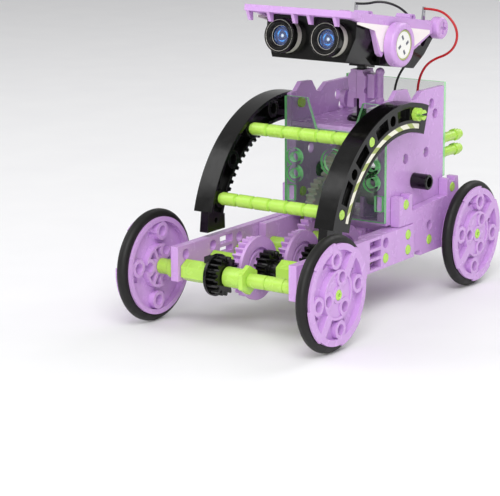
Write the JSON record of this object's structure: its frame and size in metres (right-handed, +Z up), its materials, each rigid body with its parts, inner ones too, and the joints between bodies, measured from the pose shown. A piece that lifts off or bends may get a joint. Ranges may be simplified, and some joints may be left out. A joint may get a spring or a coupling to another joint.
{
  "type": "solar robot kit",
  "caption": "Snap-together solar robot on four wheels, with side beams, a gear train, a motor box, two toothed arches and a wide head with lens eyes, ear wheels and a solar roof.",
  "frame": {"origin": "on the floor, midway between the front and rear wheel axles, in the middle plane of the robot", "axes": "+Z up, -Y the way the robot faces, +X towards the robot's own left side"},
  "size_m": [0.1046, 0.19, 0.1428],
  "materials": {
    "purple_plastic": "gloss",
    "black_plastic": "gloss",
    "green_plastic": "gloss",
    "white_plastic": "satin",
    "clear_green": "clear gloss",
    "tyre_rubber": "satin",
    "motor_can": "satin",
    "bright_metal": "bright",
    "lens_blue": "gloss",
    "sticker_paper": "satin",
    "solar_glass": "gloss",
    "lead_black": "satin",
    "lead_red": "satin"
  },
  "bodies": {
    "chassis": {"front_beam_left": "purple_plastic", "front_beam_right": "purple_plastic", "second_beam_left": "purple_plastic", "second_beam_right": "purple_plastic", "base_frame": "purple_plastic", "rear_side_frame_left": "purple_plastic", "rear_side_frame_right": "purple_plastic", "frame_pins": "green_plastic", "gearbox_shell_left": "purple_plastic", "gearbox_shell_right": "purple_plastic", "front_cover": "clear_green", "rear_cover": "clear_green", "top_tray": "purple_plastic", "motor": "motor_can", "arch_left": "black_plastic", "arch_right": "black_plastic", "arch_stickers": "sticker_paper", "cross_bars": "green_plastic", "fork_pins": "green_plastic", "neck_post": "black_plastic", "black_lead": "lead_black", "red_lead": "lead_red"},
    "front_axle": {"front_axle": "green_plastic", "front_pinion": "black_plastic", "front_left_wheel": "purple_plastic", "front_left_tyre": "tyre_rubber", "front_right_wheel": "purple_plastic", "front_right_tyre": "tyre_rubber"},
    "second_axle": {"second_axle": "green_plastic", "second_axle_gear": "purple_plastic", "second_axle_pinion": "black_plastic"},
    "third_axle": {"third_axle": "green_plastic", "third_axle_gear": "purple_plastic", "third_axle_pinion": "black_plastic"},
    "fourth_axle": {"fourth_axle": "green_plastic", "fourth_axle_gear": "purple_plastic"},
    "fifth_axle": {"fifth_axle": "green_plastic", "fifth_axle_gears": "purple_plastic"},
    "idler": {"idler_gear": "white_plastic"},
    "output_shaft": {"output_shaft": "black_plastic", "output_gears": "white_plastic"},
    "motor_shaft": {"motor_pinion": "bright_metal"},
    "rear_axle": {"rear_axle": "green_plastic", "rear_left_wheel": "purple_plastic", "rear_left_tyre": "tyre_rubber", "rear_right_wheel": "purple_plastic", "rear_right_tyre": "tyre_rubber"},
    "head": {"neck_halves": "purple_plastic", "neck_catch_and_knob": "purple_plastic", "head_lower_shell": "black_plastic", "head_roof": "purple_plastic", "head_side_stickers": "sticker_paper", "solar_panel": "solar_glass", "rear_roller": "purple_plastic", "eye_sleeves": "bright_metal", "eye_hoods": "black_plastic", "eye_lenses": "lens_blue", "lead_terminals": "bright_metal"},
    "ear_left": {"ear_wheel_left": "purple_plastic"},
    "ear_right": {"ear_wheel_right": "purple_plastic"}
  },
  "joints": [
    {"name": "front_axle_spin", "type": "hinge", "parent": "chassis", "child": "front_axle", "pos_m": [0, -0.069, 0.026], "axis": [1, 0, 0], "continuous": true},
    {"name": "second_axle_spin", "type": "hinge", "parent": "chassis", "child": "second_axle", "pos_m": [0, -0.048, 0.026], "axis": [1, 0, 0], "continuous": true},
    {"name": "third_axle_spin", "type": "hinge", "parent": "chassis", "child": "third_axle", "pos_m": [0, -0.027, 0.026], "axis": [1, 0, 0], "continuous": true},
    {"name": "fourth_axle_spin", "type": "hinge", "parent": "chassis", "child": "fourth_axle", "pos_m": [0, -0.006, 0.026], "axis": [1, 0, 0], "continuous": true},
    {"name": "fifth_axle_spin", "type": "hinge", "parent": "chassis", "child": "fifth_axle", "pos_m": [0, 0.015, 0.026], "axis": [1, 0, 0], "continuous": true},
    {"name": "idler_spin", "type": "hinge", "parent": "chassis", "child": "idler", "pos_m": [0, 0.02501, 0.04331], "axis": [1, 0, 0], "continuous": true},
    {"name": "output_shaft_spin", "type": "hinge", "parent": "chassis", "child": "output_shaft", "pos_m": [0, 0.0361, 0.0562], "axis": [1, 0, 0], "continuous": true},
    {"name": "motor_shaft_spin", "type": "hinge", "parent": "chassis", "child": "motor_shaft", "pos_m": [0, 0.022, 0.05107], "axis": [1, 0, 0], "continuous": true},
    {"name": "rear_axle_spin", "type": "hinge", "parent": "chassis", "child": "rear_axle", "pos_m": [0, 0.069, 0.026], "axis": [1, 0, 0], "continuous": true},
    {"name": "head_pan", "type": "hinge", "parent": "chassis", "child": "head", "pos_m": [0, 0.0333, 0.09], "axis": [0, 0, 1], "range_deg": [-25, 25], "deforming": ["black_lead", "red_lead"]},
    {"name": "ear_left_spin", "type": "hinge", "parent": "head", "child": "ear_left", "pos_m": [0, 0.01741, 0.12369], "axis": [1, 0, 0], "continuous": true},
    {"name": "ear_right_spin", "type": "hinge", "parent": "head", "child": "ear_right", "pos_m": [0, 0.01741, 0.12369], "axis": [1, 0, 0], "continuous": true}
  ],
  "couplings": [
    {"joint": "second_axle_spin", "follows": "front_axle_spin", "ratio": -0.61538},
    {"joint": "third_axle_spin", "follows": "front_axle_spin", "ratio": 0.3787},
    {"joint": "fourth_axle_spin", "follows": "front_axle_spin", "ratio": -0.23305},
    {"joint": "fifth_axle_spin", "follows": "front_axle_spin", "ratio": 0.3787},
    {"joint": "idler_spin", "follows": "front_axle_spin", "ratio": -0.3787},
    {"joint": "output_shaft_spin", "follows": "front_axle_spin", "ratio": 0.541},
    {"joint": "motor_shaft_spin", "follows": "front_axle_spin", "ratio": -3.5165}
  ]
}
